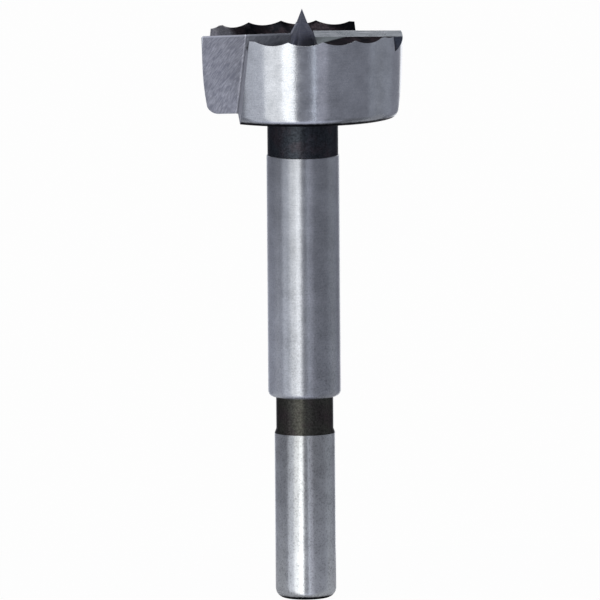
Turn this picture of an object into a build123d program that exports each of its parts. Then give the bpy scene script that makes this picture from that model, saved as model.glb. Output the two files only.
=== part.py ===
# Forstner bit with a toothed rim, turned and milled from one bar of steel.
# It stands on the end of its shank: the origin is the middle of that end, +Z runs up the bit to its
# point, and the two cutting edges lie along X. Sizes are in millimetres and degrees.

import math
import os

from build123d import *

# Shank, the plain round end that the chuck grips
shank_dia = 9.525
shank_length = 26.2
foot_radius = 1.6

# Turned body: a thin neck that flares down to the shank, a ground barrel and a neck under the head
lower_neck_dia = 9.0
lower_neck_length = 5.8
lower_neck_flare = 0.7
barrel_dia = 11.45
barrel_length = 38.25
barrel_bottom_radius = 0.95
barrel_top_break = 0.1
upper_neck_dia = 11.15
upper_neck_length = 6.0
upper_neck_fillet = 0.5

# Head, its height measured to the tips of the rim teeth, and narrower below so that it runs free
cutting_dia = 31.75
head_height = 13.5
head_back_taper = 1.9
head_corner_radius = 1.5

# Rim: a thin edge, bevelled inside, with hollows ground across it that leave a tooth between them
rim_edge_width = 0.25
rim_bevel = 38.0
tooth_hollow_count = 4
tooth_hollow_start = -24.5
tooth_pitch = 20.0
tooth_depth = 0.6
end_hollow_depth = 0.25
tooth_wheel_radius = 6.25
tooth_bevel = 30.0

# Lifters, the two chisels across the head, with each edge standing ahead of the bit's middle
edge_offset = 1.4
edge_below_rim = 0.04
edge_fall = 0.85
land_width = 3.0
land_relief = 12.5
back_width = 6.0
back_relief = 16.0
rake_lean = 29.0
lifter_inner_end = 1.9

# Gullets, the two chip ways down through the head
gullet_wall_offset = 10.1
gullet_wall_lean = 6.2
gullet_wall_turn = 5.2
gullet_root_radius = 0.4

# Centre point: a four-sided spike on a broader shoulder, with a flat ground on its front and back
point_height = 3.6
point_side_angle = 21.9
point_front_angle = 26.0
point_turn = -20.0
point_flat_lean = 9.0
point_flat_height = 0.7
point_flat_exit = 22.0
shoulder_height = 1.45
shoulder_top_width = 1.6
shoulder_slope = 28.0
shoulder_thickness = 1.6

# How far the cutting tools reach past the metal that they cut, and the least flat left by a rounding
tool_overrun = 2.0
least_flat = 0.05

# Heights above the foot
shank_top = shank_length
barrel_bottom = shank_top + lower_neck_length
barrel_top = barrel_bottom + barrel_length
head_bottom = barrel_top + upper_neck_length
rim_top = head_bottom + head_height
point_tip = rim_top + point_height

# Radii
shank_r = shank_dia / 2
lower_neck_r = lower_neck_dia / 2
barrel_r = barrel_dia / 2
upper_neck_r = upper_neck_dia / 2
head_r = cutting_dia / 2
head_bottom_r = head_r - head_height * math.tan(math.radians(head_back_taper))
barrel_rounding = min(barrel_bottom_radius, barrel_r - lower_neck_r - least_flat)

# Section of a lifter: its edge, the heel of its ground land and the foot of its steeper back
edge_z = rim_top - edge_below_rim
heel_y = edge_offset - land_width
heel_z = edge_z - land_width * math.tan(math.radians(land_relief))
back_foot_y = heel_y - back_width
cup_floor = heel_z - back_width * math.tan(math.radians(back_relief))
cup_depth = rim_top - cup_floor


# The shape together with its copy half a turn round the bit
def both_halves(shape):
    return shape + Rot(0, 0, 180) * shape


# The corner of an upright outline nearest to a place across and up
def corner_at(outline, across, up):
    return outline.vertices().sort_by_distance(Vector(across, 0, up))[0]


# Everything that is turned on the lathe, with the head still solid
def turned_blank():
    outline = Plane.XZ * make_face(
        Polyline(
            (0, 0),
            (shank_r, 0),
            (shank_r, shank_top),
            (lower_neck_r, shank_top + lower_neck_flare),
            (lower_neck_r, barrel_bottom),
            (barrel_r, barrel_bottom),
            (barrel_r, barrel_top),
            (upper_neck_r, barrel_top),
            (upper_neck_r, head_bottom),
            (head_bottom_r, head_bottom),
            (head_r, rim_top),
            (0, rim_top),
            close=True,
        )
    )
    outline = fillet(corner_at(outline, shank_r, 0), foot_radius)
    outline = fillet(corner_at(outline, barrel_r, barrel_bottom), barrel_rounding)
    outline = chamfer(corner_at(outline, barrel_r, barrel_top), barrel_top_break)
    outline = fillet(corner_at(outline, upper_neck_r, head_bottom), upper_neck_fillet)
    outline = fillet(corner_at(outline, head_bottom_r, head_bottom), head_corner_radius)
    return revolve(outline, Axis.Z)


# The round hollow inside the rim, which widens upwards and leaves the rim a thin edge
def cup_hollow():
    bevel = math.tan(math.radians(rim_bevel))
    edge_r = head_r - rim_edge_width
    outline = Plane.XZ * make_face(
        Polyline(
            (0, cup_floor),
            (edge_r - cup_depth * bevel, cup_floor),
            (edge_r + tool_overrun * bevel, rim_top + tool_overrun),
            (0, rim_top + tool_overrun),
            close=True,
        )
    )
    return revolve(outline, Axis.Z)


# A bar along the right-hand lifter, from its section across Y and up, tilted as its edge is
def lifter_bar(*section):
    across = Plane(origin=(lifter_inner_end, 0, 0), x_dir=(0, 1, 0), z_dir=(1, 0, 0))
    bar = extrude(across * make_face(Polyline(*section, close=True)), head_r + tool_overrun)
    return Pos(0, 0, edge_z) * Rot(0, edge_fall, 0) * Pos(0, 0, -edge_z) * bar


# The body of the lifter inside the cup: land and back on top, and the leaning face at its front
def lifter():
    root_z = cup_floor - tool_overrun
    root_y = edge_offset - (edge_z - root_z) * math.tan(math.radians(rake_lean))
    return lifter_bar(
        (edge_offset, edge_z),
        (heel_y, heel_z),
        (back_foot_y, cup_floor),
        (back_foot_y, root_z),
        (root_y, root_z),
    )


# The milling pass over the lifter's top, which runs out through the rim and notches it
def lifter_pass():
    top_z = rim_top + tool_overrun
    wall_top_y = back_foot_y - (top_z - cup_floor) * math.tan(math.radians(back_relief))
    return lifter_bar(
        (edge_offset, edge_z),
        (heel_y, heel_z),
        (back_foot_y, cup_floor),
        (wall_top_y, top_z),
        (edge_offset + tool_overrun, top_z),
    )


# The chip way ahead of the left-hand lifter: in front of its leaning face and outside its own wall
def gullet():
    reach = 2 * (cutting_dia + head_height)
    block = Box(reach, reach, reach, align=(Align.CENTER, Align.MAX, Align.CENTER))
    ahead_of_face = Pos(0, -edge_offset, edge_z) * Rot(rake_lean, 0, 0) * block
    block = Box(reach, reach, reach, align=(Align.MAX, Align.CENTER, Align.CENTER))
    wall_angles = Rot(0, 0, -gullet_wall_turn) * Rot(0, gullet_wall_lean, 0)
    outside_wall = Pos(-gullet_wall_offset, 0, head_bottom) * wall_angles * block
    way = ahead_of_face & outside_wall
    root = way.edges().sort_by_distance(Vector(-gullet_wall_offset, 0, head_bottom))[0]
    return fillet(root, gullet_root_radius)


# One hollow in the rim, cut by a round wheel whose axis dips towards the middle of the bit
def tooth_hollow(angle, depth):
    dip = math.radians(tooth_bevel)
    inward = Vector(-math.cos(dip), 0, -math.sin(dip))
    upward = Vector(-math.sin(dip), 0, math.cos(dip))
    lowest = Vector(head_r, 0, rim_top - depth)
    start = lowest - inward * tool_overrun + upward * tooth_wheel_radius
    rim_run = cup_depth * math.tan(math.radians(rim_bevel))
    wheel = Cylinder(
        tooth_wheel_radius,
        tool_overrun + rim_edge_width + rim_run,
        align=(Align.CENTER, Align.CENTER, Align.MIN),
    )
    wheel = Plane(origin=start, z_dir=inward) * wheel
    return Rot(0, 0, angle - 90) * wheel


# The hollows of both halves of the rim, each cut by itself. The last of a half is a shallow one, where
# the rim runs out to the notch.
def rim_hollows():
    angles = [tooth_hollow_start + step * tooth_pitch for step in range(tooth_hollow_count + 1)]
    depths = [tooth_depth] * tooth_hollow_count + [end_hollow_depth]
    return [
        tooth_hollow(angle + half_turn, depth)
        for half_turn in (0, 180)
        for angle, depth in zip(angles, depths)
    ]


# The spike, with the flats ground on its front and back near the tip
def spike():
    height = point_tip - cup_floor + tool_overrun
    side_reach = height * math.tan(math.radians(point_side_angle))
    front_reach = height * math.tan(math.radians(point_front_angle))
    ring = Polyline((side_reach, 0), (0, front_reach), (-side_reach, 0), (0, -front_reach), close=True)
    base = Pos(0, 0, point_tip - height) * make_face(ring)
    body = loft([base.face(), Vertex(0, 0, point_tip)], ruled=True)
    flat_foot = rim_top + point_flat_height
    flat_in = (point_tip - flat_foot) * math.tan(math.radians(point_flat_lean))
    exit_drop = front_reach * math.tan(math.radians(point_flat_exit))
    profile = Polyline(
        (0, point_tip),
        (flat_in, flat_foot),
        (flat_in + front_reach, flat_foot - exit_drop),
        (flat_in + front_reach, point_tip),
        close=True,
    )
    forward = Plane(origin=(0, 0, 0), x_dir=(0, -1, 0), z_dir=(1, 0, 0))
    flat = extrude(forward * make_face(profile), side_reach, both=True)
    return Rot(0, 0, point_turn) * (body - both_halves(flat))


# The broader shoulder that carries the spike into the inner ends of the lifters
def shoulder():
    top_z = rim_top + shoulder_height
    half_top = shoulder_top_width / 2
    foot_z = top_z - (lifter_inner_end - half_top) / math.tan(math.radians(shoulder_slope))
    outline = Plane.XZ * make_face(
        Polyline(
            (-half_top, top_z),
            (half_top, top_z),
            (lifter_inner_end, foot_z),
            (lifter_inner_end, cup_floor),
            (-lifter_inner_end, cup_floor),
            (-lifter_inner_end, foot_z),
            close=True,
        )
    )
    return extrude(outline, shoulder_thickness / 2, both=True)


def forstner_bit():
    cup = cup_hollow() - both_halves(lifter())
    passes = both_halves(lifter_pass())
    gullets = both_halves(gullet())
    body = turned_blank() - cup - passes - gullets - rim_hollows()
    return body + shoulder() + spike()


bit = forstner_bit()
bit.label = "forstner_bit"
os.makedirs("parts", exist_ok=True)
export_step(bit, "parts/forstner_bit.step")
print("forstner_bit", round(bit.volume, 1), "mm3", bit.bounding_box().size)
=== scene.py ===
import math

import bpy
from mathutils import Matrix, Vector


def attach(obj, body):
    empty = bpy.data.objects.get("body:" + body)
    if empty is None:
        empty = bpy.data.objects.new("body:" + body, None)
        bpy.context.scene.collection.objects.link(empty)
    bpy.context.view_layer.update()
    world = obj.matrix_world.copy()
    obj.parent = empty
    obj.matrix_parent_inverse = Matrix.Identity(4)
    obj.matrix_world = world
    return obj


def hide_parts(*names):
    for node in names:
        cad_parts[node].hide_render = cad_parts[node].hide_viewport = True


# A forstner bit with a toothed rim, standing on the end of its shank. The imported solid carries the
# shape. This script makes its turned walls truly round, gives each face the finish that the maker
# left on it, and lights it as a plain product photo.
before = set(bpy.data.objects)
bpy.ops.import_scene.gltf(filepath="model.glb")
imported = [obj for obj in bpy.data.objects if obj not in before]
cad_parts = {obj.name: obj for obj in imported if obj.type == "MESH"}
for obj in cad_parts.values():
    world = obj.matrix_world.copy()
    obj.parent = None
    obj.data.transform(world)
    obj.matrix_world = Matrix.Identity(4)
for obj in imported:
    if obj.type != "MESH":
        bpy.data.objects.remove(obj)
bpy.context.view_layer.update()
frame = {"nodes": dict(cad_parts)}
mm = 0.001
scene = bpy.context.scene
print("frame loaded:", ", ".join(frame["nodes"]))


def linear(hexColour):  # sRGB hex to the linear values that shaders take
    parts = [int(hexColour[i:i + 2], 16) / 255 for i in (1, 3, 5)]
    return [c / 12.92 if c <= 0.04045 else ((c + 0.055) / 1.055) ** 2.4 for c in parts] + [1.0]


# Adds a node with its settings, and links or sets its inputs. A link may be a socket or a node,
# which then gives its first output.
def addNode(tree, kind, inputs=None, **settings):
    node = tree.nodes.new(kind)
    for name, value in settings.items():
        setattr(node, name, value)
    for key, value in (inputs or {}).items():
        if isinstance(value, bpy.types.Node):
            value = value.outputs[0]
        if isinstance(value, bpy.types.NodeSocket):
            tree.links.new(value, node.inputs[key])
        else:
            node.inputs[key].default_value = value
    return node


# Sizes of the bit in millimetres and degrees, as its drawing has them. Inside the hub, the steep faces
# are the centre point's.
bitSizes = {
    "shankTop": 26.2,
    "barrelBottom": 32.0,
    "barrelTop": 70.25,
    "headBottom": 76.25,
    "headRadius": 15.875,
    "headHeight": 13.5,
    "headBackTaper": 1.9,
    "footRadius": 1.6,
    "barrelRounding": 0.95,
    "headCornerRadius": 1.5,
    "neckFillet": 0.5,
    "cupFloor": 87.324,
    "hubRadius": 3.3,
    "rakeLean": 29.0,
    "landRelief": 12.5,
    "backRelief": 16.0,
    "edgeHeight": 89.71,
    "edgeFall": 0.85,
    "edgeInnerEnd": 1.9,
}

# What changes the looks of the steel: colours, roughness, and the marks of each machine in millimetres.
# Real grinding marks lie some 0.02 mm apart, too fine to show here, so the rings, the arcs, the grain and
# the pits are drawn several times as coarse.
steelLooks = {
    # Turned walls
    "wallColour": "#bcbfc3",
    "wallColourStreak": "#aaaeb3",
    "wallRoughness": 0.22,
    "wallAnisotropy": 0.75,
    "ringPitch": 0.17,
    "ringLength": 1.6,
    "ringDepth": 0.003,
    "grainSize": 0.22,
    "smudging": 0.18,
    "edgeRadius": 0.07,
    # What sets the barrel and the shank apart from the head: their shade, painted lighter towards the foot
    # as a painted reflection of the floor, their pits, and a painted highlight on one side
    "barrelShade": 0.85,
    "barrelBlur": 0.13,
    "shankColour": "#c0c3c4",
    "shankShade": 1.06,
    "shankBlur": 0.07,
    # Where the painted reflection of the floor starts up the shank, and how much it brightens the foot
    "floorGlowTop": 20.0,
    "floorGlowGain": 0.27,
    "pitSize": 0.3,
    "headPits": 0.08,
    "shankPits": 0.5,
    # A painted highlight on the barrel's side towards the lamps: its way, its inner and outer reach, its
    # top and foot, and its gain
    "sheenSide": (-0.91, -0.42, 0.0),
    "sheenInside": 4.8,
    "sheenOutside": 5.6,
    "sheenTop": 70.0,
    "sheenFoot": 46.0,
    "sheenGain": 0.6,
    # Faces that a wheel ground, with the middle of the wheel
    "faceColour": "#91939a",
    "faceColourStreak": "#cfd0d6",
    "faceRoughness": 0.45,
    "arcPitch": 0.13,
    "arcLength": 1.3,
    "arcDepth": 0.006,
    "rakeWheel": (18.0, 0.0, 66.0),
    # The rake is painted darker towards the centre point, as painted shade: where it starts and ends, and
    # how dark it gets
    "cornerInside": 4.0,
    "cornerOutside": 5.5,
    "cornerPaintedShade": 0.78,
    # The honed strip along the cutting edge, painted brighter: a painted highlight
    "honedHighlightColour": "#d0d2d8",
    "honedWidth": 0.36,
    "landWheel": (0.0, 0.0, 60.0),
    "landColour": "#858c91",
    "landRoughness": 0.3,
    "backColour": "#6c7375",
    "reachNormal": (0.535, 0.845),
    "reachDistance": 4.91,
    "cupColour": "#96999f",
    "millingScale": 0.3,
    "pointColour": "#7c7f8e",
    "rootMiddle": (1.0, -1.6, 87.3),
    "rootInside": 1.8,
    "rootOutside": 3.1,
    "rootShare": 0.68,
    # Black oxide and where it begins; the shank's black end, a painted shade; a pale patch on the rim's
    # inside, a painted reflection; and where the oxide is thin
    "oxideCool": "#363a3f",
    "oxideWarm": "#454540",
    "oxideHead": "#17181c",
    "oxideStain": "#443a3e",
    "oxideRoughness": 0.38,
    "darkHeight": 0.55,
    "darkFade": 0.2,
    "footShadeEnd": 1.0,
    "reflectionMiddle": (-11.5, 8.4, 88.8),
    "reflectionReach": 6.6,
    "reflectionInside": 13.3,
    "reflectionShare": 0.8,
    "reflectionColour": "#9a999f",
    "thinInside": 13.8,
    "thinOutside": 14.5,
    "thinShare": 0.5,
    "thinColour": "#515869",
}


def newMaterial(name):
    material = bpy.data.materials.new(name)
    material.use_nodes = True
    material.node_tree.nodes.clear()
    return material, material.node_tree


# A material from a function that lays its nodes: it takes the tree and the place in millimetres, and
# gives the surface
def makeFinish(name, laySurface):
    material, tree = newMaterial(name)
    inMetres = addNode(tree, "ShaderNodeTexCoord").outputs["Object"]
    place = addNode(tree, "ShaderNodeVectorMath", {0: inMetres, "Scale": 1 / mm}, operation="SCALE")
    addNode(tree, "ShaderNodeOutputMaterial", {"Surface": laySurface(tree, place)})
    return material


# The same place with its coordinates in another order, to turn a pattern onto another plane
def reordered(tree, place, order):
    parts = addNode(tree, "ShaderNodeSeparateXYZ", {0: place}).outputs
    return addNode(tree, "ShaderNodeCombineXYZ", {i: parts[a] for i, a in enumerate(order)})


# Black oxide, the skin of magnetite that a hot salt bath leaves on steel: on the necks, the underside, the
# cup's wall and the insides of the teeth. It mirrors only a few parts in a hundred, and little more at a
# slant, so it stays near black with a faint upright gleam on the necks.
def blackOxide(tree, place):
    marks = addNode(tree, "ShaderNodeMapping", {"Vector": place, "Scale": (0.25, 0.25, 4.0)})
    turning = addNode(tree, "ShaderNodeTexNoise", {"Vector": marks, "Scale": 1.0, "Detail": 3.0})
    stain = addNode(tree, "ShaderNodeTexNoise", {
        "Vector": place, "Scale": 0.4, "Detail": 4.0, "Roughness": 0.6})
    parts = addNode(tree, "ShaderNodeSeparateXYZ", {0: place}).outputs
    warmth = addNode(tree, "ShaderNodeMapRange", {
        "Value": parts["Z"], "From Min": bitSizes["barrelTop"], "From Max": bitSizes["barrelBottom"]})
    neck = addNode(tree, "ShaderNodeMix", {
        "Factor": warmth, 6: linear(steelLooks["oxideCool"]), 7: linear(steelLooks["oxideWarm"])},
        data_type="RGBA")
    # The head came out of the bath blackest, and the very end of the shank is painted as black: a painted
    # shade where the foot meets the floor
    inHead = addNode(tree, "ShaderNodeMath", {
        0: parts["Z"], 1: bitSizes["headBottom"]}, operation="GREATER_THAN")
    inFootShade = addNode(tree, "ShaderNodeMath", {
        0: parts["Z"], 1: steelLooks["footShadeEnd"]}, operation="LESS_THAN")
    blackest = addNode(tree, "ShaderNodeMath", {0: inHead, 1: inFootShade}, operation="MAXIMUM")
    colour = addNode(tree, "ShaderNodeMix", {
        "Factor": blackest, 6: neck.outputs[2], 7: linear(steelLooks["oxideHead"])}, data_type="RGBA")
    stainAmount = addNode(tree, "ShaderNodeMapRange", {
        "Value": stain, "From Min": 0.45, "From Max": 0.75, "To Max": 0.7})
    stained = addNode(tree, "ShaderNodeMix", {
        "Factor": stainAmount, 6: colour.outputs[2], 7: linear(steelLooks["oxideStain"])},
        data_type="RGBA")
    # A pale patch on the inside of the rim at the back left, ragged at its border: a painted reflection
    fromReflection = addNode(tree, "ShaderNodeVectorMath", {
        0: place, 1: steelLooks["reflectionMiddle"]}, operation="DISTANCE").outputs["Value"]
    raggedly = addNode(tree, "ShaderNodeMath", {
        0: stain, 1: 4.0, 2: fromReflection}, operation="MULTIPLY_ADD")
    flat = addNode(tree, "ShaderNodeVectorMath", {0: place, 1: (1, 1, 0)}, operation="MULTIPLY")
    fromAxis = addNode(tree, "ShaderNodeVectorMath", {0: flat}, operation="LENGTH").outputs["Value"]
    onRim = addNode(tree, "ShaderNodeMapRange", {
        "Value": fromAxis, "From Min": steelLooks["reflectionInside"],
        "From Max": steelLooks["reflectionInside"] + 0.5, "To Max": steelLooks["reflectionShare"]})
    reflectionShare = addNode(tree, "ShaderNodeMapRange", {
        "Value": raggedly, "From Min": steelLooks["reflectionReach"],
        "From Max": steelLooks["reflectionReach"] - 2.0, "To Max": onRim})
    paintedReflection = addNode(tree, "ShaderNodeMix", {
        "Factor": reflectionShare, 6: stained.outputs[2], 7: linear(steelLooks["reflectionColour"])},
        data_type="RGBA")
    specks = addNode(tree, "ShaderNodeTexNoise", {
        "Vector": place, "Scale": 1 / steelLooks["pitSize"], "Detail": 2.0, "Roughness": 0.7})
    speckGain = addNode(tree, "ShaderNodeMapRange", {
        "Value": specks, "From Min": 0.35, "From Max": 0.7, "To Min": 0.68, "To Max": 1.55})
    # The skin is thinner on the outermost edges, where the lifters' notches run out
    outermost = addNode(tree, "ShaderNodeMath", {0: parts["X"]}, operation="ABSOLUTE")
    thinShare = addNode(tree, "ShaderNodeMapRange", {
        "Value": outermost, "From Min": steelLooks["thinInside"],
        "From Max": steelLooks["thinOutside"], "To Max": steelLooks["thinShare"]})
    thinned = addNode(tree, "ShaderNodeMix", {
        "Factor": thinShare, 6: paintedReflection.outputs[2], 7: linear(steelLooks["thinColour"])}, data_type="RGBA")
    rough = addNode(tree, "ShaderNodeMapRange", {
        "Value": turning, "From Min": 0.3, "From Max": 0.7,
        "To Min": steelLooks["oxideRoughness"] - 0.04,
        "To Max": steelLooks["oxideRoughness"] + 0.06})
    speckled = addNode(tree, "ShaderNodeVectorMath", {
        0: thinned.outputs[2], "Scale": speckGain}, operation="SCALE")
    bump = addNode(tree, "ShaderNodeBump", {"Height": turning, "Strength": 1.0, "Distance": 0.004 * mm})
    upright = addNode(tree, "ShaderNodeCombineXYZ", {"Z": 1.0})
    return addNode(tree, "ShaderNodeBsdfPrincipled", {
        "Base Color": speckled, "Metallic": 1.0, "Roughness": rough,
        "Specular Tint": (0.5, 0.5, 0.51, 1.0), "Anisotropic": 0.6, "Tangent": upright,
        "Normal": bump})


# Tool steel, ground between wheels while it turns. The marks run round the bit, so a highlight is a
# narrow upright band, with a fine grain and faint rings in it.
def groundWall(tree, place):
    ringScale = 1 / steelLooks["ringPitch"]
    alongScale = 1 / steelLooks["ringLength"]
    fine = addNode(tree, "ShaderNodeMapping", {
        "Vector": place, "Scale": (alongScale, alongScale, ringScale)})
    rings = addNode(tree, "ShaderNodeTexNoise", {
        "Vector": fine, "Scale": 1.0, "Detail": 3.0, "Roughness": 0.6})
    grain = addNode(tree, "ShaderNodeTexNoise", {
        "Vector": place, "Scale": 1 / steelLooks["grainSize"], "Detail": 2.0, "Roughness": 0.7})
    cloud = addNode(tree, "ShaderNodeTexNoise", {
        "Vector": place, "Scale": 0.3, "Detail": 6.0, "Roughness": 0.65})
    texture = addNode(tree, "ShaderNodeMath", {0: rings, 1: 0.6, 2: grain}, operation="MULTIPLY_ADD")
    streak = addNode(tree, "ShaderNodeMapRange", {"Value": texture, "From Min": 0.62, "From Max": 1.0})
    plain = addNode(tree, "ShaderNodeMix", {
        "Factor": streak, 6: linear(steelLooks["wallColour"]),
        7: linear(steelLooks["wallColourStreak"])}, data_type="RGBA")
    # The barrel's colour is a little darker than the head's, and it is painted brighter down the shank to
    # its foot: a painted reflection of the bright floor
    height = addNode(tree, "ShaderNodeSeparateXYZ", {0: place}).outputs["Z"]
    paintedFloorLight = addNode(tree, "ShaderNodeMapRange", {
        "Value": height, "From Min": bitSizes["barrelTop"], "From Max": 0.0,
        "To Min": steelLooks["barrelShade"], "To Max": steelLooks["shankShade"]})
    paintedFloorGlow = addNode(tree, "ShaderNodeMapRange", {
        "Value": height, "From Min": steelLooks["floorGlowTop"], "From Max": 0.0, "To Min": 0.0,
        "To Max": steelLooks["floorGlowGain"]})
    isHead = addNode(tree, "ShaderNodeMath", {
        0: height, 1: bitSizes["barrelTop"] + 1}, operation="GREATER_THAN")
    even = addNode(tree, "ShaderNodeMath", {0: paintedFloorLight, 1: isHead}, operation="MAXIMUM")
    shade = addNode(tree, "ShaderNodeMath", {0: even, 1: paintedFloorGlow}, operation="ADD")
    # Small dark pits, few on the head and most on the shank, whose steel is also a little paler
    pits = addNode(tree, "ShaderNodeTexNoise", {
        "Vector": place, "Scale": 1 / steelLooks["pitSize"], "Detail": 3.0, "Roughness": 0.75})
    pitted = addNode(tree, "ShaderNodeMapRange", {"Value": pits, "From Min": 0.48, "From Max": 0.72})
    pitShare = addNode(tree, "ShaderNodeMapRange", {
        "Value": height, "From Min": bitSizes["barrelTop"] + 3, "From Max": bitSizes["shankTop"],
        "To Min": -steelLooks["headPits"], "To Max": -steelLooks["shankPits"]})
    smudges = addNode(tree, "ShaderNodeMapRange", {
        "Value": cloud, "From Min": 0.3, "From Max": 0.7, "To Min": 1.05 - steelLooks["smudging"],
        "To Max": 1.05 + steelLooks["smudging"]})
    pitGain = addNode(tree, "ShaderNodeMath", {
        0: pitted, 1: pitShare, 2: smudges}, operation="MULTIPLY_ADD")
    # One side of the barrel, the side towards the lamps, is painted brighter towards its lower end: a
    # painted highlight
    middle = (bitSizes["barrelTop"] + bitSizes["barrelBottom"]) / 2
    isBarrel = addNode(tree, "ShaderNodeMath", {
        0: height, 1: middle, 2: bitSizes["barrelTop"] - middle + 0.1}, operation="COMPARE")
    leftward = addNode(tree, "ShaderNodeVectorMath", {
        0: place, 1: steelLooks["sheenSide"]}, operation="DOT_PRODUCT").outputs["Value"]
    onLeft = addNode(tree, "ShaderNodeMapRange", {
        "Value": leftward, "From Min": steelLooks["sheenInside"],
        "From Max": steelLooks["sheenOutside"], "To Max": steelLooks["sheenGain"]})
    lowDown = addNode(tree, "ShaderNodeMapRange", {
        "Value": height, "From Min": steelLooks["sheenTop"], "From Max": steelLooks["sheenFoot"]})
    bothWays = addNode(tree, "ShaderNodeMath", {0: onLeft, 1: lowDown}, operation="MULTIPLY")
    pitsSmudgesAndSheen = addNode(tree, "ShaderNodeMath", {
        0: bothWays, 1: isBarrel, 2: pitGain}, operation="MULTIPLY_ADD")
    fullShade = addNode(tree, "ShaderNodeMath", {0: shade, 1: pitsSmudgesAndSheen}, operation="MULTIPLY")
    onShank = addNode(tree, "ShaderNodeMapRange", {
        "Value": height, "From Min": bitSizes["barrelBottom"], "From Max": bitSizes["shankTop"]})
    steel = addNode(tree, "ShaderNodeMix", {
        "Factor": onShank, 6: plain.outputs[2], 7: linear(steelLooks["shankColour"])}, data_type="RGBA")
    colour = addNode(tree, "ShaderNodeVectorMath", {
        0: steel.outputs[2], "Scale": fullShade}, operation="SCALE")
    patchy = addNode(tree, "ShaderNodeMapRange", {
        "Value": cloud, "From Min": 0.3, "From Max": 0.7,
        "To Min": steelLooks["wallRoughness"] - 0.03, "To Max": steelLooks["wallRoughness"] + 0.03})
    barrelRough = addNode(tree, "ShaderNodeMath", {
        0: isBarrel, 1: steelLooks["barrelBlur"], 2: patchy}, operation="MULTIPLY_ADD")
    rough = addNode(tree, "ShaderNodeMath", {
        0: onShank, 1: steelLooks["shankBlur"], 2: barrelRough}, operation="MULTIPLY_ADD")
    bevel = addNode(tree, "ShaderNodeBevel", {"Radius": steelLooks["edgeRadius"] * mm}, samples=4)
    bump = addNode(tree, "ShaderNodeBump", {
        "Height": texture, "Strength": 1.0, "Distance": steelLooks["ringDepth"] * mm, "Normal": bevel})
    upright = addNode(tree, "ShaderNodeCombineXYZ", {"Z": 1.0})
    return addNode(tree, "ShaderNodeBsdfPrincipled", {
        "Base Color": colour, "Metallic": 1.0, "Roughness": rough,
        "Anisotropic": steelLooks["wallAnisotropy"], "Tangent": upright, "Normal": bump})


# The same steel where a flat wheel ground it: its marks are fine light arcs about the wheel's own middle.
# The colours are the plain face's and the arcs'. A strip painted brighter, a painted highlight on a honed
# edge, is given by its share, and gain dims it all as painted shade.
def groundFace(tree, place, wheelMiddle, colours, roughness, strip=None, gain=1.0):
    fromMiddle = addNode(tree, "ShaderNodeVectorMath", {0: place, 1: wheelMiddle}, operation="SUBTRACT")
    parts = addNode(tree, "ShaderNodeSeparateXYZ", {0: fromMiddle}).outputs
    acrossSquared = addNode(tree, "ShaderNodeMath", {
        0: parts["X"], 1: parts["X"]}, operation="MULTIPLY")
    reachSquared = addNode(tree, "ShaderNodeMath", {
        0: parts["Z"], 1: parts["Z"], 2: acrossSquared}, operation="MULTIPLY_ADD")
    reach = addNode(tree, "ShaderNodeMath", {0: reachSquared}, operation="SQRT")
    turn = addNode(tree, "ShaderNodeMath", {0: parts["Z"], 1: parts["X"]}, operation="ARCTAN2")
    # The arcs have their true length at this distance from the wheel's middle
    usualReach = math.hypot(bitSizes["headRadius"] + wheelMiddle[0],
                            bitSizes["headBottom"] - wheelMiddle[2])
    reachScaled = addNode(tree, "ShaderNodeMath", {
        0: reach, 1: 1 / steelLooks["arcPitch"]}, operation="MULTIPLY")
    turnScaled = addNode(tree, "ShaderNodeMath", {
        0: turn, 1: usualReach / steelLooks["arcLength"]}, operation="MULTIPLY")
    polar = addNode(tree, "ShaderNodeCombineXYZ", {0: reachScaled, 1: turnScaled, 2: parts["Y"]})
    arcs = addNode(tree, "ShaderNodeTexNoise", {
        "Vector": polar, "Scale": 1.0, "Detail": 4.0, "Roughness": 0.7})
    cloud = addNode(tree, "ShaderNodeTexNoise", {
        "Vector": place, "Scale": 0.7, "Detail": 4.0, "Roughness": 0.6})
    marks = addNode(tree, "ShaderNodeMath", {0: cloud, 1: 0.35, 2: arcs}, operation="MULTIPLY_ADD")
    streak = addNode(tree, "ShaderNodeMapRange", {"Value": marks, "From Min": 0.58, "From Max": 0.92})
    colour = addNode(tree, "ShaderNodeMix", {
        "Factor": streak, 6: linear(colours[0]), 7: linear(colours[1])}, data_type="RGBA").outputs[2]
    rough = addNode(tree, "ShaderNodeMapRange", {
        "Value": cloud, "From Min": 0.3, "From Max": 0.7, "To Min": roughness - 0.05,
        "To Max": roughness + 0.05}).outputs[0]
    if strip is not None:
        colour = addNode(tree, "ShaderNodeMix", {
            "Factor": strip, 6: colour, 7: linear(steelLooks["honedHighlightColour"])},
            data_type="RGBA").outputs[2]
    colour = addNode(tree, "ShaderNodeVectorMath", {0: colour, "Scale": gain}, operation="SCALE")
    bevel = addNode(tree, "ShaderNodeBevel", {"Radius": steelLooks["edgeRadius"] * mm}, samples=4)
    bump = addNode(tree, "ShaderNodeBump", {
        "Height": arcs, "Strength": 1.0, "Distance": steelLooks["arcDepth"] * mm, "Normal": bevel})
    return addNode(tree, "ShaderNodeBsdfPrincipled", {
        "Base Color": colour, "Metallic": 1.0, "Roughness": rough, "Normal": bump})


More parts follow.
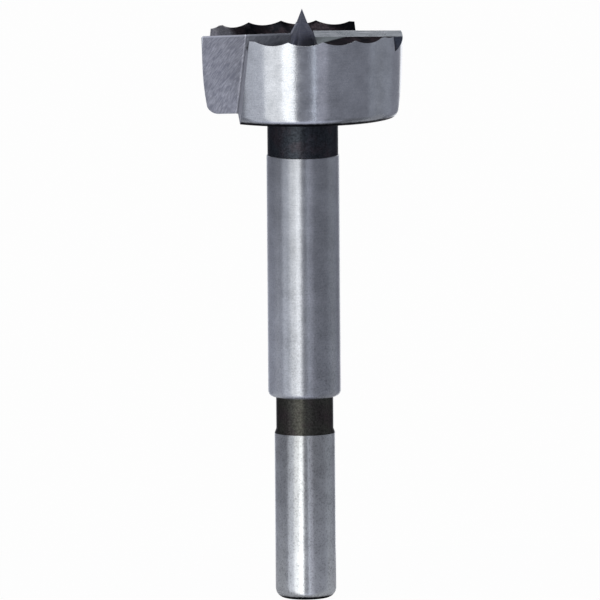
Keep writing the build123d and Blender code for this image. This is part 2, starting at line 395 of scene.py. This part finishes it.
# The turned walls: bright down to the head's rounded corner, where the grinding ended, and dark again at
# the very end of the shank, a painted shade where the foot meets the floor
def turnedWall(tree, place):
    bright = groundWall(tree, place)
    dark = blackOxide(tree, place)
    height = addNode(tree, "ShaderNodeSeparateXYZ", {0: place}).outputs["Z"]
    ragged = addNode(tree, "ShaderNodeTexNoise", {"Vector": place, "Scale": 1.2, "Detail": 2.0})
    edge = addNode(tree, "ShaderNodeMath", {0: ragged, 1: 0.25, 2: height}, operation="MULTIPLY_ADD")
    cornerZ = bitSizes["headBottom"] + steelLooks["darkHeight"]
    aboveCorner = addNode(tree, "ShaderNodeMapRange", {
        "Value": edge, "From Min": cornerZ, "From Max": cornerZ + steelLooks["darkFade"]})
    belowHead = addNode(tree, "ShaderNodeMath", {
        0: height, 1: bitSizes["headBottom"] - 1}, operation="LESS_THAN")
    # The shank's dark end is painted shade of its contact with the floor
    aboveEnd = addNode(tree, "ShaderNodeMapRange", {
        "Value": edge, "From Min": steelLooks["darkHeight"],
        "From Max": steelLooks["darkHeight"] + steelLooks["darkFade"]})
    onShaft = addNode(tree, "ShaderNodeMath", {0: belowHead, 1: aboveEnd}, operation="MULTIPLY")
    isBright = addNode(tree, "ShaderNodeMath", {0: aboveCorner, 1: onShaft}, operation="MAXIMUM")
    return addNode(tree, "ShaderNodeMixShader", {0: isBright, 1: dark, 2: bright})


# The leaning fronts of the lifters, ground last and left with the wheel's arcs. A strip along the honed
# cutting
# edge is painted brighter: a painted highlight where the honed edge faces up to the light.
def rakeFace(tree, place):
    parts = addNode(tree, "ShaderNodeSeparateXYZ", {0: place}).outputs
    along = addNode(tree, "ShaderNodeMath", {0: parts["X"]}, operation="ABSOLUTE")
    # How far below the edge a point lies: the edge falls a little towards the rim
    fall = math.tan(math.radians(bitSizes["edgeFall"]))
    innerHeight = bitSizes["edgeHeight"] + bitSizes["edgeInnerEnd"] * fall
    edgeHeight = addNode(tree, "ShaderNodeMath", {
        0: along, 1: -fall, 2: innerHeight}, operation="MULTIPLY_ADD")
    below = addNode(tree, "ShaderNodeMath", {0: edgeHeight, 1: parts["Z"]}, operation="SUBTRACT")
    strip = addNode(tree, "ShaderNodeMapRange", {
        "Value": below, "From Min": steelLooks["honedWidth"],
        "From Max": steelLooks["honedWidth"] * 0.8})
    # Darker towards the corner by the centre point: painted shade of the point's shoulder
    gain = addNode(tree, "ShaderNodeMapRange", {
        "Value": along, "From Min": steelLooks["cornerInside"],
        "From Max": steelLooks["cornerOutside"], "To Min": steelLooks["cornerPaintedShade"]})
    return groundFace(tree, place, steelLooks["rakeWheel"],
                      (steelLooks["faceColour"], steelLooks["faceColourStreak"]),
                      steelLooks["faceRoughness"], strip, gain)


# The narrow lands behind the cutting edges, ground finer than the rest, so they mirror a little sharper
def landFace(tree, place):
    return groundFace(tree, reordered(tree, place, "XZY"), steelLooks["landWheel"],
                      (steelLooks["landColour"], steelLooks["faceColourStreak"]),
                      steelLooks["landRoughness"])


# How dark the root of the point was left, on either side of it: most at the place given as rootMiddle for
# the front, and at the same place half a turn on for the back
def rootDarkness(tree, place):
    parts = addNode(tree, "ShaderNodeSeparateXYZ", {0: place}).outputs
    front = addNode(tree, "ShaderNodeMath", {0: parts["Y"], 1: -1.0}, operation="MULTIPLY")
    side = addNode(tree, "ShaderNodeMath", {0: front}, operation="SIGN")
    frontX = addNode(tree, "ShaderNodeMath", {0: parts["X"], 1: side}, operation="MULTIPLY")
    frontY = addNode(tree, "ShaderNodeMath", {0: parts["Y"], 1: side}, operation="MULTIPLY")
    seen = addNode(tree, "ShaderNodeCombineXYZ", {0: frontX, 1: frontY, 2: parts["Z"]})
    away = addNode(tree, "ShaderNodeVectorMath", {
        0: seen, 1: steelLooks["rootMiddle"]}, operation="DISTANCE").outputs["Value"]
    ragged = addNode(tree, "ShaderNodeTexNoise", {"Vector": place, "Scale": 2.0, "Detail": 3.0})
    awayRagged = addNode(tree, "ShaderNodeMath", {0: ragged, 1: 0.8, 2: away}, operation="MULTIPLY_ADD")
    return addNode(tree, "ShaderNodeMapRange", {
        "Value": awayRagged, "From Min": steelLooks["rootOutside"],
        "From Max": steelLooks["rootInside"], "To Max": steelLooks["rootShare"]})


# The centre point, whose small flats were ground one by one: a bluish grey that darkens at the root, which
# the wheel didn't reach
def pointFace(tree, place):
    bright = groundFace(tree, place, steelLooks["landWheel"],
                        (steelLooks["pointColour"], steelLooks["faceColour"]),
                        steelLooks["faceRoughness"])
    dark = blackOxide(tree, place)
    return addNode(tree, "ShaderNodeMixShader", {0: rootDarkness(tree, place), 1: bright, 2: dark})


# The floor of the cup, milled round the centre point: an even grey, with marks wider than the wheel's
def cupFloor(tree, place):
    coarse = addNode(tree, "ShaderNodeVectorMath", {
        0: reordered(tree, place, "XZY"), "Scale": steelLooks["millingScale"]}, operation="SCALE")
    return groundFace(tree, coarse, (0.0, 0.0, 0.0),
                      (steelLooks["cupColour"], steelLooks["faceColour"]),
                      steelLooks["faceRoughness"])


# The walls of the gullets, ground by the side of the rake's wheel, and as bright
def gulletWall(tree, place):
    return groundFace(tree, reordered(tree, place, "YXZ"), steelLooks["rakeWheel"],
                      (steelLooks["faceColour"], steelLooks["faceColourStreak"]),
                      steelLooks["faceRoughness"])


# The backs of the lifters: ground near the hub as far as the wheel reached, and dark beyond
def backFace(tree, place):
    bright = groundFace(tree, reordered(tree, place, "XZY"), steelLooks["landWheel"],
                        (steelLooks["backColour"], steelLooks["landColour"]),
                        steelLooks["faceRoughness"])
    dark = blackOxide(tree, place)
    parts = addNode(tree, "ShaderNodeSeparateXYZ", {0: place}).outputs
    side = addNode(tree, "ShaderNodeMath", {0: parts["X"]}, operation="SIGN")
    along = addNode(tree, "ShaderNodeMath", {0: parts["X"]}, operation="ABSOLUTE")
    behind = addNode(tree, "ShaderNodeMath", {0: parts["Y"], 1: side}, operation="MULTIPLY")
    # Seen from above, the wheel's reach ends on a line, given by its normal and its distance
    normalAlong, normalBehind = steelLooks["reachNormal"]
    run = addNode(tree, "ShaderNodeMath", {
        0: along, 1: -normalAlong, 2: steelLooks["reachDistance"]}, operation="MULTIPLY_ADD")
    beyond = addNode(tree, "ShaderNodeMath", {
        0: behind, 1: normalBehind, 2: run}, operation="MULTIPLY_ADD")
    clear = addNode(tree, "ShaderNodeMapRange", {"Value": beyond, "From Min": -0.15, "From Max": 0.25})
    reached = addNode(tree, "ShaderNodeMath", {
        0: clear, 1: rootDarkness(tree, place)}, operation="SUBTRACT")
    return addNode(tree, "ShaderNodeMixShader", {0: reached, 1: dark, 2: bright})


finishes = {kind: makeFinish(name, laySurface) for kind, name, laySurface in (
    ("Wall", "groundToolSteel", turnedWall),
    ("Oxide", "blackOxideSteel", blackOxide),
    ("Rake", "wheelGroundRakeSteel", rakeFace),
    ("Land", "honedLandSteel", landFace),
    ("Back", "partGroundBackSteel", backFace),
    ("Gullet", "groundGulletSteel", gulletWall),
    ("Floor", "milledCupSteel", cupFloor),
    ("Point", "groundPointSteel", pointFace),
)}
print("finishes made:", ", ".join(m.name for m in finishes.values()))


# Whether each height lies between two others
def between(tree, height, low, high):
    above = addNode(tree, "ShaderNodeMath", {0: height, 1: low}, operation="GREATER_THAN")
    below = addNode(tree, "ShaderNodeMath", {0: height, 1: high}, operation="LESS_THAN")
    return addNode(tree, "ShaderNodeMath", {0: above, 1: below}, operation="MULTIPLY")


# The tree that finishes the bit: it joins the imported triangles, sorts the faces by how they were
# machined, gives each its finish, and points the normals of the turned walls as on a true round.
def makeFinishTree():
    tree = bpy.data.node_groups.new("finishTurnedAndGround", "GeometryNodeTree")
    for inOut in ("INPUT", "OUTPUT"):
        tree.interface.new_socket("Geometry", in_out=inOut, socket_type="NodeSocketGeometry")
    widening = math.tan(math.radians(bitSizes["headBackTaper"]))
    sizes = {
        "Merge Distance": 0.002 * mm,
        "Sharp Angle": math.radians(25),
        "Foot Radius": bitSizes["footRadius"] * mm,
        "Shank Top": bitSizes["shankTop"] * mm,
        "Barrel Bottom": bitSizes["barrelBottom"] * mm,
        "Barrel Top": bitSizes["barrelTop"] * mm,
        "Head Bottom": bitSizes["headBottom"] * mm,
        "Barrel Rounding": bitSizes["barrelRounding"] * mm,
        "Head Corner Radius": bitSizes["headCornerRadius"] * mm,
        "Neck Fillet": bitSizes["neckFillet"] * mm,
        "Hub Radius": bitSizes["hubRadius"] * mm,
        "Rake Rise": -math.sin(math.radians(bitSizes["rakeLean"])),
        "Land Rise": math.cos(math.radians(bitSizes["landRelief"])),
        "Back Rise": math.cos(math.radians(bitSizes["backRelief"])),
        "Head Bottom Radius": (bitSizes["headRadius"] - bitSizes["headHeight"] * widening
                               - 0.08) * mm,
        "Head Widening": widening,
        "Cup Floor": bitSizes["cupFloor"] * mm,
        "Floor Tolerance": 0.05 * mm,
        "Turned Tolerance": 0.03,
        "Wall Outwardness": 0.9,
        "Least Outwardness": 0.01,
        "Floor Levelness": 0.999,
        "Hub Slope": 0.94,
        "Gullet Sidewiseness": 0.95,
    }
    for name, value in sizes.items():
        socket = tree.interface.new_socket(name, in_out="INPUT", socket_type="NodeSocketFloat")
        socket.default_value = value
    for name in finishes:
        tree.interface.new_socket(name, in_out="INPUT", socket_type="NodeSocketMaterial")

    given = addNode(tree, "NodeGroupInput").outputs
    merged = addNode(tree, "GeometryNodeMergeByDistance", {
        "Geometry": given["Geometry"], "Distance": given["Merge Distance"]})
    edgeAngle = addNode(tree, "GeometryNodeInputMeshEdgeAngle")
    isSharp = addNode(tree, "ShaderNodeMath", {
        0: edgeAngle, 1: given["Sharp Angle"]}, operation="GREATER_THAN")
    smooth = addNode(tree, "GeometryNodeSetMeshNormal", {
        "Mesh": merged, "Remove Custom": True, "Edge Sharpness": isSharp}, mode="SHARPNESS")

    # Where each face's middle lies, and which way it points
    place = addNode(tree, "GeometryNodeInputPosition")
    normal = addNode(tree, "GeometryNodeInputNormal")
    middle = addNode(tree, "GeometryNodeFieldOnDomain", {
        0: place}, domain="FACE", data_type="FLOAT_VECTOR")
    facing = addNode(tree, "GeometryNodeFieldOnDomain", {
        0: normal}, domain="FACE", data_type="FLOAT_VECTOR")
    flatMiddle = addNode(tree, "ShaderNodeVectorMath", {0: middle, 1: (1, 1, 0)}, operation="MULTIPLY")
    outwards = addNode(tree, "ShaderNodeVectorMath", {0: flatMiddle}, operation="NORMALIZE")
    sideways = addNode(tree, "ShaderNodeVectorMath", {
        0: (0, 0, 1), 1: outwards}, operation="CROSS_PRODUCT")
    middleRadius = addNode(tree, "ShaderNodeVectorMath", {0: flatMiddle}, operation="LENGTH")
    middleZ = addNode(tree, "ShaderNodeSeparateXYZ", {0: middle}).outputs["Z"]
    facingParts = addNode(tree, "ShaderNodeSeparateXYZ", {0: facing}).outputs
    rise = facingParts["Z"]

    # A face is turned when it points neither way round the bit
    roundabout = addNode(tree, "ShaderNodeVectorMath", {
        0: facing, 1: sideways}, operation="DOT_PRODUCT").outputs["Value"]
    onAxisPlane = addNode(tree, "ShaderNodeMath", {
        0: roundabout, 1: 0.0, 2: given["Turned Tolerance"]}, operation="COMPARE")
    beyondHub = addNode(tree, "ShaderNodeMath", {
        0: middleRadius.outputs["Value"], 1: given["Hub Radius"]}, operation="GREATER_THAN")
    lathed = addNode(tree, "ShaderNodeMath", {0: onAxisPlane, 1: beyondHub}, operation="MULTIPLY")
    # So is a sliver of the head's outer cone, whose own normal is no guide
    inHead = addNode(tree, "ShaderNodeMath", {
        0: middleZ, 1: given["Head Bottom"]}, operation="GREATER_THAN")
    overBottom = addNode(tree, "ShaderNodeMath", {
        0: middleZ, 1: given["Head Bottom"]}, operation="SUBTRACT")
    coneRadius = addNode(tree, "ShaderNodeMath", {
        0: overBottom, 1: given["Head Widening"], 2: given["Head Bottom Radius"]},
        operation="MULTIPLY_ADD")
    onCone = addNode(tree, "ShaderNodeMath", {
        0: middleRadius.outputs["Value"], 1: coneRadius}, operation="GREATER_THAN")
    coneInHead = addNode(tree, "ShaderNodeMath", {0: onCone, 1: inHead}, operation="MULTIPLY")
    outwardness = addNode(tree, "ShaderNodeVectorMath", {
        0: facing, 1: outwards}, operation="DOT_PRODUCT").outputs["Value"]
    mostlyOut = addNode(tree, "ShaderNodeMath", {
        0: outwardness, 1: given["Wall Outwardness"]}, operation="GREATER_THAN")
    outerCone = addNode(tree, "ShaderNodeMath", {0: coneInHead, 1: mostlyOut}, operation="MULTIPLY")
    isTurned = addNode(tree, "ShaderNodeMath", {0: lathed, 1: outerCone}, operation="MAXIMUM")

    # The rise of a turned face's true normal at each corner: its own on walls and cones, and from the
    # height on the foot, the head's corner and the neck's fillet
    cornerZ = addNode(tree, "ShaderNodeSeparateXYZ", {0: place}).outputs["Z"]
    cornerTop = addNode(tree, "ShaderNodeMath", {
        0: given["Head Bottom"], 1: given["Head Corner Radius"]}, operation="ADD")
    filletFoot = addNode(tree, "ShaderNodeMath", {
        0: given["Head Bottom"], 1: given["Neck Fillet"]}, operation="SUBTRACT")
    barrelSide = addNode(tree, "ShaderNodeMath", {
        0: given["Barrel Bottom"], 1: given["Barrel Rounding"]}, operation="ADD")
    roundings = (
        (0.0, -1.0, given["Foot Radius"], 0.0),
        (given["Barrel Bottom"], -1.0, barrelSide, 0.0),
        (given["Head Bottom"], -1.0, cornerTop, 0.0),
        (filletFoot, 0.0, given["Head Bottom"], -1.0),
    )
    trueRise = rise
    for lowZ, lowRise, highZ, highRise in roundings:
        onRound = addNode(tree, "ShaderNodeMapRange", {
            "Value": cornerZ, "From Min": lowZ, "From Max": highZ, "To Min": lowRise,
            "To Max": highRise})
        within = between(tree, middleZ, lowZ, highZ)
        trueRise = addNode(tree, "GeometryNodeSwitch", {
            0: within, 1: trueRise, 2: onRound}, input_type="FLOAT")
    flatPlace = addNode(tree, "ShaderNodeVectorMath", {0: place, 1: (1, 1, 0)}, operation="MULTIPLY")
    radial = addNode(tree, "ShaderNodeVectorMath", {0: flatPlace}, operation="NORMALIZE")
    inOrOut = addNode(tree, "ShaderNodeMath", {0: outwardness}, operation="SIGN")
    riseSquared = addNode(tree, "ShaderNodeMath", {0: trueRise, 1: trueRise}, operation="MULTIPLY")
    level = addNode(tree, "ShaderNodeMath", {0: 1.0, 1: riseSquared}, operation="SUBTRACT")
    levelSafe = addNode(tree, "ShaderNodeMath", {0: level, 1: 0.0}, operation="MAXIMUM")
    spread = addNode(tree, "ShaderNodeMath", {0: levelSafe}, operation="SQRT")
    signedSpread = addNode(tree, "ShaderNodeMath", {0: spread, 1: inOrOut}, operation="MULTIPLY")
    levelPart = addNode(tree, "ShaderNodeVectorMath", {
        0: radial, "Scale": signedSpread}, operation="SCALE")
    risePart = addNode(tree, "ShaderNodeCombineXYZ", {"Z": trueRise})
    roundNormal = addNode(tree, "ShaderNodeVectorMath", {0: levelPart, 1: risePart}, operation="ADD")
    trueNormal = addNode(tree, "GeometryNodeSwitch", {
        0: isTurned, 1: normal, 2: roundNormal}, input_type="VECTOR")

    # Which finish each face has: bright walls first, then what stays dark, then what was ground last
    facesOut = addNode(tree, "ShaderNodeMath", {
        0: outwardness, 1: given["Least Outwardness"]}, operation="GREATER_THAN")
    turnedOut = addNode(tree, "ShaderNodeMath", {0: isTurned, 1: facesOut}, operation="MULTIPLY")
    isWall = addNode(tree, "ShaderNodeMath", {0: turnedOut, 1: outerCone}, operation="MAXIMUM")
    notWall = addNode(tree, "ShaderNodeMath", {0: 1.0, 1: isWall}, operation="SUBTRACT")
    cutHead = addNode(tree, "ShaderNodeMath", {0: inHead, 1: notWall}, operation="MULTIPLY")
    dark = cutHead
    for low, high in ((given["Shank Top"], given["Barrel Bottom"]),
                      (given["Barrel Top"], given["Head Bottom"])):
        within = between(tree, middleZ, low, high)
        dark = addNode(tree, "ShaderNodeMath", {0: dark, 1: within}, operation="MAXIMUM")
    nearHub = addNode(tree, "ShaderNodeMath", {
        0: middleRadius.outputs["Value"], 1: given["Hub Radius"]}, operation="LESS_THAN")
    slopes = addNode(tree, "ShaderNodeMath", {0: rise, 1: given["Hub Slope"]}, operation="LESS_THAN")
    steepHub = addNode(tree, "ShaderNodeMath", {0: nearHub, 1: slopes}, operation="MULTIPLY")
    isPoint = addNode(tree, "ShaderNodeMath", {0: steepHub, 1: inHead}, operation="MULTIPLY")
    atFloor = addNode(tree, "ShaderNodeMath", {
        0: middleZ, 1: given["Cup Floor"], 2: given["Floor Tolerance"]}, operation="COMPARE")
    facesUp = addNode(tree, "ShaderNodeMath", {
        0: rise, 1: given["Floor Levelness"]}, operation="GREATER_THAN")
    onFloor = addNode(tree, "ShaderNodeMath", {0: atFloor, 1: facesUp}, operation="MULTIPLY")
    sidewise = addNode(tree, "ShaderNodeMath", {0: facingParts["X"]}, operation="ABSOLUTE")
    facesSidewise = addNode(tree, "ShaderNodeMath", {
        0: sidewise, 1: given["Gullet Sidewiseness"]}, operation="GREATER_THAN")
    onGullet = addNode(tree, "ShaderNodeMath", {0: facesSidewise, 1: cutHead}, operation="MULTIPLY")
    # The rounded root of a gullet, between its wall and the rake: it faces 0.05 to 0.95 sidewise, and
    # anything from half down to a little up
    partlySidewise = addNode(tree, "ShaderNodeMath", {
        0: sidewise, 1: 0.5, 2: 0.45}, operation="COMPARE")
    nearLevel = addNode(tree, "ShaderNodeMath", {0: rise, 1: -0.2, 2: 0.31}, operation="COMPARE")
    inRoot = addNode(tree, "ShaderNodeMath", {0: partlySidewise, 1: nearLevel}, operation="MULTIPLY")
    onRoot = addNode(tree, "ShaderNodeMath", {0: inRoot, 1: cutHead}, operation="MULTIPLY")
    zones = [("Oxide", dark), ("Point", isPoint), ("Floor", onFloor), ("Gullet", onGullet),
             ("Rake", onRoot)]
    # The rake, the land and the back are told by how far they lean
    for name, tolerance in (("Rake", 0.02), ("Land", 0.006), ("Back", 0.006)):
        matches = addNode(tree, "ShaderNodeMath", {
            0: rise, 1: given[name + " Rise"], 2: tolerance}, operation="COMPARE")
        onFace = addNode(tree, "ShaderNodeMath", {0: matches, 1: cutHead}, operation="MULTIPLY")
        zones.append((name, onFace))
    painted = addNode(tree, "GeometryNodeSetMaterial", {"Geometry": smooth, "Material": given["Wall"]})
    for name, zone in zones:
        painted = addNode(tree, "GeometryNodeSetMaterial", {
            "Geometry": painted, "Selection": zone, "Material": given[name]})
    rounded = addNode(tree, "GeometryNodeSetMeshNormal", {
        "Mesh": painted, "Custom Normal": trueNormal}, mode="FREE", domain="CORNER")
    real = addNode(tree, "GeometryNodeRealizeInstances", {"Geometry": rounded})
    addNode(tree, "NodeGroupOutput", {"Geometry": real})
    return tree


def makeBit():
    node = frame["nodes"]["forstner_bit"]
    rough = bpy.data.objects.new("bitBeforeFinishing", node.data.copy())
    rough.data.materials.clear()
    scene.collection.objects.link(rough)
    modifier = rough.modifiers.new("finish", "NODES")
    modifier.node_group = makeFinishTree()
    for item in modifier.node_group.interface.items_tree:
        if item.in_out == "INPUT" and item.name in finishes:
            modifier[item.identifier] = finishes[item.name]
    graph = bpy.context.evaluated_depsgraph_get()
    mesh = bpy.data.meshes.new_from_object(rough.evaluated_get(graph), depsgraph=graph,
                                           preserve_all_data_layers=True)
    bpy.data.objects.remove(rough)
    bit = bpy.data.objects.new("finishedBit", mesh)
    scene.collection.objects.link(bit)
    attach(bit, "root")
    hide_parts("forstner_bit")
    counts = {m.name: 0 for m in mesh.materials}
    for polygon in mesh.polygons:
        counts[mesh.materials[polygon.material_index].name] += 1
    print("bit finished:", len(mesh.polygons), "faces,", counts)


makeBit()

# The photo's view: the bit turned a little, seen from slightly above through a long lens
cameraSizes = {
    "azimuth": -6.5,
    "elevation": 6.95,
    "roll": 0.42,
    "frameWidth": 94.49,
    "aimHeight": 47.18,
    "aimLeft": 0.62,
    "lens": 1600.0,
    "sensor": 36.0,
}


def directionTo(azimuth, elevation):  # azimuth 0 is the front, -Y, and grows towards +X
    a, e = math.radians(azimuth), math.radians(elevation)
    return Vector((math.sin(a) * math.cos(e), -math.cos(a) * math.cos(e), math.sin(e)))


def makeCamera():
    lens = bpy.data.cameras.new("photoLens")
    lens.lens = cameraSizes["lens"]
    lens.sensor_width = cameraSizes["sensor"]
    distance = cameraSizes["frameWidth"] * mm * lens.lens / lens.sensor_width
    lens.clip_start, lens.clip_end = 0.1, 50.0
    camera = bpy.data.objects.new("photoCamera", lens)
    scene.collection.objects.link(camera)
    back = directionTo(cameraSizes["azimuth"], cameraSizes["elevation"])
    turn = back.to_track_quat("Z", "Y").to_matrix()
    turn = turn @ Matrix.Rotation(math.radians(-cameraSizes["roll"]), 3, "Z")
    aim = Vector((0, 0, cameraSizes["aimHeight"] * mm)) - turn.col[0] * cameraSizes["aimLeft"] * mm
    camera.matrix_world = Matrix.Translation(aim + back * distance) @ turn.to_4x4()
    scene.camera = camera


makeCamera()

# Lamps stand round the bit, as tall upright strips that reach as far below it as above, and two more hang
# over it. Each row gives the azimuth from the camera and the elevation in degrees, the distance, width
# and height in metres, the brightness, which is the white level of the lamp's face, and the colour.
lampSizes = {
    "keyStrip": (-15.5, 0, 0.9, 0.22, 2.4, 1.95, "#fffefb"),
    "softNear": (-33, 0, 0.9, 0.36, 2.4, 1.12, "#fffefb"),
    "softLeft": (-57, 0, 0.9, 0.45, 2.4, 0.51, "#f8faff"),
    "thinRight": (13.7, 0, 0.9, 0.042, 2.4, 1.3, "#eef4ff"),
    "softRight": (23.5, 0, 0.9, 0.19, 2.4, 0.24, "#f4f0ff"),
    "rearStrip": (166, 0, 0.9, 0.3, 2.4, 0.95, "#ffffff"),
    "farRight": (106, 0, 0.9, 0.7, 2.4, 0.085, "#f0faff"),
    "rearThin": (199, 0, 0.9, 0.1, 2.4, 0.9, "#eef4ff"),
    "overhead": (0, 85, 0.9, 0.6, 0.6, 2.2, "#ffffff"),
    "backTop": (180, 36, 1.2, 1.6, 0.8, 0.15, "#f2fbff"),
}


def makeLamps():
    bitMiddle = Vector((0, 0, 0.05))
    for name, row in lampSizes.items():
        azimuth, elevation, distance, width, height, brightness, colour = row
        lamp = bpy.data.lights.new(name, "AREA")
        lamp.shape = "RECTANGLE"
        lamp.size, lamp.size_y = width, height
        lamp.energy = brightness * math.pi * width * height
        lamp.color = linear(colour)[:3]
        lampObject = bpy.data.objects.new(name, lamp)
        scene.collection.objects.link(lampObject)
        towards = directionTo(azimuth + cameraSizes["azimuth"], elevation)
        lampObject.location = towards * distance + bitMiddle
        lampObject.rotation_mode = "QUATERNION"
        lampObject.rotation_quaternion = towards.to_track_quat("Z", "Y")
        lampObject.visible_camera = False


makeLamps()

studioSizes = {
    "floorWidth": 0.8,
    "floorFront": 0.0052,
    "floorBack": 0.06,
    "floorColour": "#d4d4d8",
    "cameraShare": 0.975,
    "glossyShare": 0.1,
    "roomColour": "#9799a8",
    "roomStrength": 0.72,
    "topStrength": 0.3,
    "groundStrength": 2.2,
    "whiteStrength": 0.985,
    "topRise": (0.1, 0.7),
    "lowRise": (-0.3, -0.6),
    "groundRise": (-0.5, -0.85),
    "litWay": (-0.35, -0.94, 0.0),
    "litShare": (0.08, 0.28),
}


# How much of the plain white background a ray sees: all or nearly all from the camera, and a small share
# in a reflection or through glass
def whiteShare(tree, cameraShare):
    rays = addNode(tree, "ShaderNodeLightPath")
    bent = addNode(tree, "ShaderNodeMath", {
        0: rays.outputs["Is Glossy Ray"], 1: rays.outputs["Is Transmission Ray"]}, operation="ADD")
    dimmed = addNode(tree, "ShaderNodeMath", {
        0: bent, 1: studioSizes["glossyShare"]}, operation="MULTIPLY")
    return addNode(tree, "ShaderNodeMath", {
        0: rays.outputs["Is Camera Ray"], 1: cameraShare, 2: dimmed}, operation="MULTIPLY_ADD")


# A plain pale floor, the top of a long and shallow table, so that the lamps before and behind the bit
# reach below it. The camera sees it as the white of the photo, with the bit's soft shadow on it.
def makeFloor():
    half = studioSizes["floorWidth"] / 2
    front, back = -studioSizes["floorFront"], studioSizes["floorBack"]
    mesh = bpy.data.meshes.new("floor")
    # A hair below the shank's end, so that the two don't lie in one plane
    z = -0.01 * mm
    mesh.from_pydata([(-half, front, z), (half, front, z), (half, back, z), (-half, back, z)], [],
                     [(0, 1, 2, 3)])
    floor = bpy.data.objects.new("floor", mesh)
    scene.collection.objects.link(floor)
    material, tree = newMaterial("palePaperFloor")
    share = whiteShare(tree, studioSizes["cameraShare"])
    paper = addNode(tree, "ShaderNodeBsdfDiffuse", {"Color": linear(studioSizes["floorColour"])})
    white = addNode(tree, "ShaderNodeEmission", {"Color": linear("#ffffff")})
    mixed = addNode(tree, "ShaderNodeMixShader", {0: share, 1: paper, 2: white})
    addNode(tree, "ShaderNodeOutputMaterial", {"Surface": mixed})
    mesh.materials.append(material)


# The room is white behind the bit. Metal and glass would see that white too, but only at a small share,
# because a studio is dim beside its lamps, and dimmer above and below than at eye level.
def makeRoom():
    world = bpy.data.worlds.new("studioRoom")
    scene.world = world
    world.use_nodes = True
    tree = world.node_tree
    tree.nodes.clear()
    share = whiteShare(tree, 1.0)
    way = addNode(tree, "ShaderNodeTexCoord").outputs["Object"]
    rise = addNode(tree, "ShaderNodeSeparateXYZ", {0: way}).outputs["Z"]
    levels = []
    for fromRise, toRise in (studioSizes["topRise"], studioSizes["lowRise"]):
        levels.append(addNode(tree, "ShaderNodeMapRange", {
            "Value": rise, "From Min": fromRise, "From Max": toRise,
            "To Min": studioSizes["roomStrength"], "To Max": studioSizes["topStrength"]}))
    eyeLevel = addNode(tree, "ShaderNodeMath", {0: levels[0], 1: levels[1]}, operation="MINIMUM")
    # The ground is pale only before the bit and to its left, where the lamps light it
    ahead = addNode(tree, "ShaderNodeVectorMath", {
        0: way, 1: studioSizes["litWay"]}, operation="DOT_PRODUCT").outputs["Value"]
    litFrom, litTo = studioSizes["litShare"]
    lit = addNode(tree, "ShaderNodeMapRange", {
        "Value": ahead, "From Min": litFrom, "From Max": litTo,
        "To Max": studioSizes["groundStrength"]})
    groundFrom, groundTo = studioSizes["groundRise"]
    ground = addNode(tree, "ShaderNodeMapRange", {
        "Value": rise, "From Min": groundFrom, "From Max": groundTo, "To Min": 0.0, "To Max": lit})
    strength = addNode(tree, "ShaderNodeMath", {0: eyeLevel, 1: ground}, operation="MAXIMUM")
    room = addNode(tree, "ShaderNodeBackground", {
        "Color": linear(studioSizes["roomColour"]), "Strength": strength})
    white = addNode(tree, "ShaderNodeBackground", {
        "Color": linear("#ffffff"), "Strength": studioSizes["whiteStrength"]})
    mixed = addNode(tree, "ShaderNodeMixShader", {0: share, 1: room, 2: white})
    addNode(tree, "ShaderNodeOutputWorld", {"Surface": mixed})


makeFloor()
makeRoom()
scene.view_settings.view_transform = "Standard"
print("studio set")
